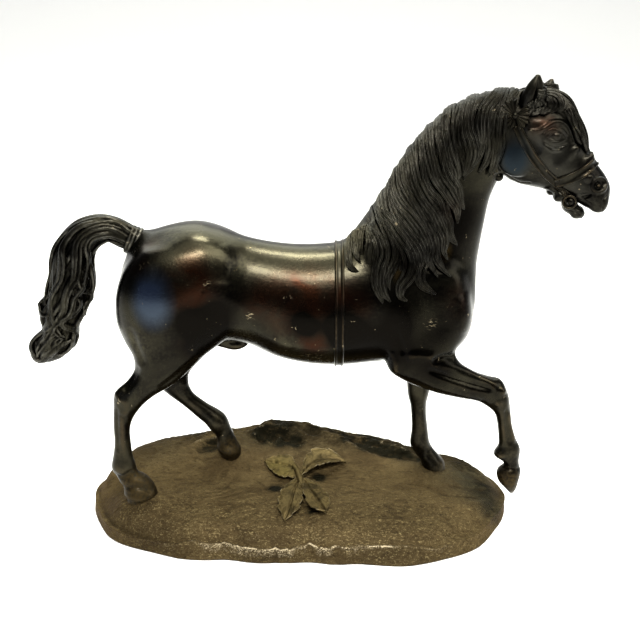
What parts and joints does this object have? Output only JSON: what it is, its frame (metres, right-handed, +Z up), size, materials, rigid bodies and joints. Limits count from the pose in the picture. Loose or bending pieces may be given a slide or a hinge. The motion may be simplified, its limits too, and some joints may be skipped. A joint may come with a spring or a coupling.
{
  "type": "horse statuette",
  "caption": "Dark patinated bronze horse with bridle and girth strap, walking with a raised foreleg on an irregular oval ground base with leaves; a mantel or table ornament.",
  "frame": {"origin": "centre of the base's flat underside, on the surface it stands on", "axes": "+X towards the horse's head, +Y towards its far side, +Z up; the side with the mane and the raised foreleg faces -Y"},
  "size_m": [0.3729, 0.145, 0.3029],
  "materials": {
    "horse_bronze": "glossy near-black brown patina on cast bronze, rubbed warm on the high places",
    "ground_bronze": "matt granular olive-brown patina on cast bronze, worn bright along the rim"
  },
  "bodies": {
    "root": {"horse": "horse_bronze", "ground_base": "ground_bronze"}
  },
  "joints": []
}
